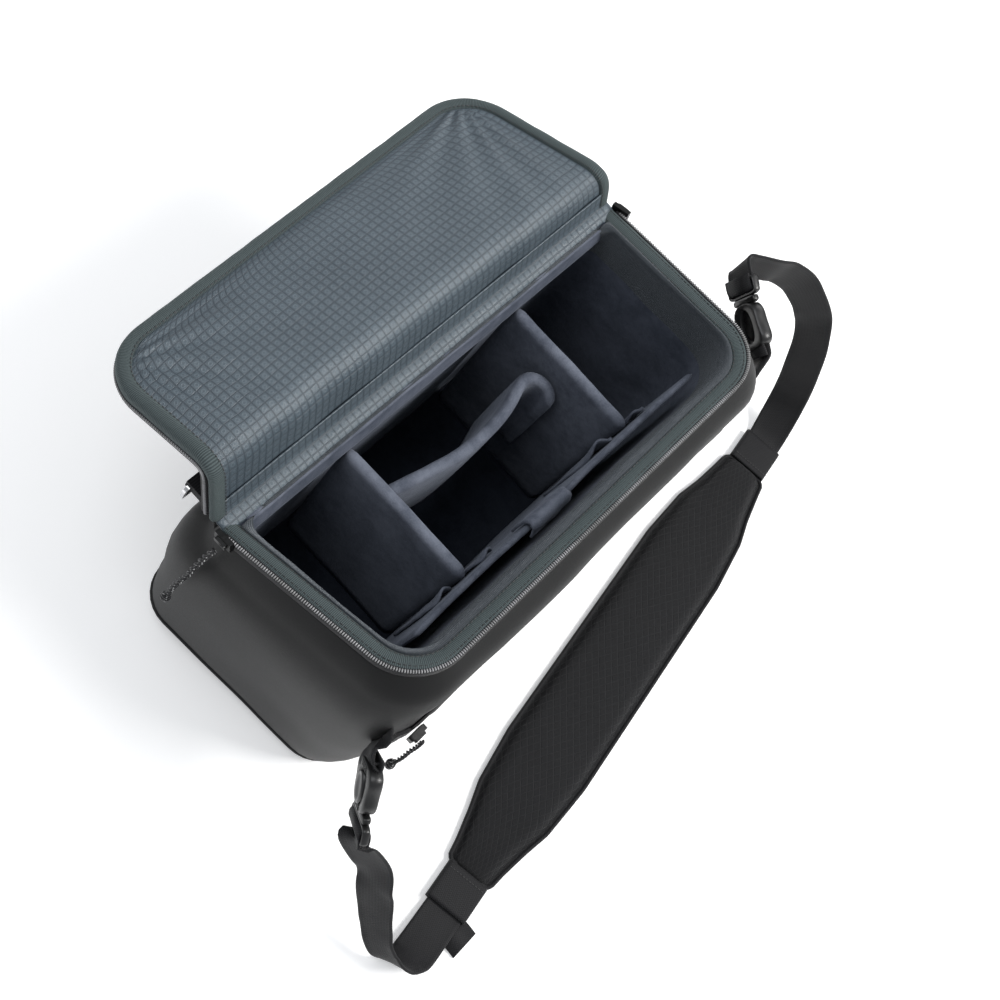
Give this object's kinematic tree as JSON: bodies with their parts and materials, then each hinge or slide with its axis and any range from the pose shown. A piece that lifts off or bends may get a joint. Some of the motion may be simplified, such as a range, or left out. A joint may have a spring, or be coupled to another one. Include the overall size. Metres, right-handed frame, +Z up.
{
  "type": "camera sling bag",
  "caption": "Soft-sided camera sling bag with a zip-around lid folded open, padded dividers, tablet sleeve and padded shoulder strap",
  "frame": {"origin": "centre of the flat base, on the surface it stands on", "axes": "+Z up, +X towards the right end (long way), -Y the back panel worn against the body, +Y the lid hinge side"},
  "size_m": [0.5317, 0.4251, 0.2277],
  "materials": {
    "outer_fabric": "matte coated",
    "liner_suede": "brushed",
    "lid_ripstop": "ripstop with soft sheen",
    "binding": "grosgrain",
    "foam": "foam",
    "zip_coil": "coil",
    "zip_metal": "black painted",
    "webbing": "woven",
    "mesh_pad": "ripstop mesh",
    "hardware": "moulded",
    "pull_cord": "braided",
    "ring_metal": "plated"
  },
  "bodies": {
    "bag": {"base_panel": "outer_fabric", "back_panel": "outer_fabric", "front_panel": "outer_fabric", "left_end_panel": "outer_fabric", "right_end_panel": "outer_fabric", "liner_base": "liner_suede", "liner_back": "liner_suede", "liner_front": "liner_suede", "liner_left": "liner_suede", "liner_right": "liner_suede", "rim_binding": "binding", "rim_zip": "zip_coil", "sleeve_wall": "liner_suede", "sleeve_tab": "liner_suede", "back_pocket_zip": "zip_coil", "back_zip_end_tabs": "webbing", "back_padding": "mesh_pad", "front_pocket_zip": "zip_coil", "lash_webbing_left": "webbing", "lash_webbing_right": "webbing"},
    "lid_strip": {"lid_hinge_panel": "outer_fabric"},
    "lid": {"lid_shell": "outer_fabric", "lid_padding": "foam", "lid_lining": "lid_ripstop", "lid_binding": "binding", "lid_zip": "zip_coil"},
    "slider_left": {"zip_slider_left": "zip_metal"},
    "pull_left": {"pull_cord_left": "pull_cord", "pull_end_left": "pull_cord"},
    "slider_right": {"zip_slider_right": "zip_metal"},
    "pull_right": {"pull_cord_right": "pull_cord", "pull_end_right": "pull_cord"},
    "back_slider": {"back_zip_slider": "zip_metal"},
    "back_pull": {"back_pull_cord": "pull_cord", "back_pull_end": "pull_cord"},
    "front_slider": {"front_zip_slider": "zip_metal"},
    "front_pull": {"front_pull_cord": "pull_cord", "front_pull_end": "pull_cord"},
    "divider_left_body": {"divider_left": "liner_suede"},
    "divider_right_body": {"divider_right": "liner_suede"},
    "divider_cross_body": {"divider_cross": "liner_suede"},
    "strap": {"anchor_webbing_left": "webbing", "anchor_webbing_right": "webbing", "buckle_housing_left": "hardware", "buckle_housing_right": "hardware", "buckle_tongue_left": "hardware", "buckle_tongue_right": "hardware", "ladder_lock_left": "hardware", "ladder_lock_right": "hardware", "strap_webbing_left": "webbing", "strap_webbing_right": "webbing", "strap_tail": "webbing", "shoulder_pad": "mesh_pad", "pad_keeper_left": "webbing", "pad_keeper_right": "webbing"},
    "button_left": {"buckle_button_left": "hardware"},
    "button_right": {"buckle_button_right": "hardware"},
    "ring_left": {"lash_ring_left": "ring_metal"},
    "ring_right": {"lash_ring_right": "ring_metal"}
  },
  "joints": [
    {"name": "lid_hinge", "type": "hinge", "parent": "bag", "child": "lid_strip", "pos_m": [0, 0.07313, 0.18059], "axis": [1, 0, 0], "range_deg": [-12, 97.4]},
    {"name": "lid_fold", "type": "hinge", "parent": "lid_strip", "child": "lid", "pos_m": [0, 0.08715, 0.21911], "axis": [0.998, -0.0215, -0.059], "range_deg": [-11.02, 89]},
    {"name": "zip_left_slide", "type": "slide", "parent": "bag", "child": "slider_left", "axis": [0.0634, -0.974, 0.2177], "range_m": [0, 0.088]},
    {"name": "pull_left_swing", "type": "hinge", "parent": "slider_left", "child": "pull_left", "pos_m": [-0.1824, 0.062, 0.1786], "axis": [0, 1, 0], "range_deg": [0, 100]},
    {"name": "zip_right_slide", "type": "slide", "parent": "bag", "child": "slider_right", "axis": [-0.0634, -0.974, 0.2177], "range_m": [0, 0.088]},
    {"name": "pull_right_swing", "type": "hinge", "parent": "slider_right", "child": "pull_right", "pos_m": [0.1824, 0.062, 0.1786], "axis": [0, -1, 0], "range_deg": [0, 100]},
    {"name": "back_zip_slide", "type": "slide", "parent": "bag", "child": "back_slider", "axis": [1, 0, 0], "range_m": [0, 0.27]},
    {"name": "back_pull_swing", "type": "hinge", "parent": "back_slider", "child": "back_pull", "pos_m": [-0.155, -0.0982, 0.14], "axis": [-1, 0, 0], "range_deg": [0, 100]},
    {"name": "front_zip_slide", "type": "slide", "parent": "bag", "child": "front_slider", "axis": [-1, 0, 0], "range_m": [0, 0.24]},
    {"name": "front_pull_swing", "type": "hinge", "parent": "front_slider", "child": "front_pull", "pos_m": [0.12, 0.1058, 0.132], "axis": [1, 0, 0], "range_deg": [0, 100]},
    {"name": "divider_left_lift", "type": "slide", "parent": "bag", "child": "divider_left_body", "axis": [0, 0, -1], "range_m": [-0.2, 0]},
    {"name": "divider_right_lift", "type": "slide", "parent": "bag", "child": "divider_right_body", "axis": [0, 0, -1], "range_m": [-0.2, 0]},
    {"name": "divider_cross_lift", "type": "slide", "parent": "bag", "child": "divider_cross_body", "axis": [0, 0, -1], "range_m": [-0.2, 0]},
    {"name": "strap_swing", "type": "hinge", "parent": "bag", "child": "strap", "pos_m": [-0.179, -0.082, 0.142], "axis": [-0.9978, -0.0161, -0.0645], "range_deg": [0, 130]},
    {"name": "buckle_button_left_press", "type": "slide", "parent": "strap", "child": "button_left", "axis": [0.7071, -0.7071, 0], "range_m": [0, 0.0015], "stiffness_N_per_m": 600, "springref_m": -0.0005},
    {"name": "buckle_button_right_press", "type": "slide", "parent": "strap", "child": "button_right", "axis": [-0.8882, 0.4594, 0], "range_m": [0, 0.0015], "stiffness_N_per_m": 600, "springref_m": -0.0005},
    {"name": "lash_ring_left_swing", "type": "hinge", "parent": "bag", "child": "ring_left", "pos_m": [-0.152, 0.1025, 0.146], "axis": [1, 0, 0], "range_deg": [0, 110]},
    {"name": "lash_ring_right_swing", "type": "hinge", "parent": "bag", "child": "ring_right", "pos_m": [0.152, 0.1025, 0.146], "axis": [1, 0, 0], "range_deg": [0, 110]}
  ],
  "couplings": [
    {"joint": "lid_fold", "follows": "lid_hinge", "ratio": 0.91376}
  ]
}
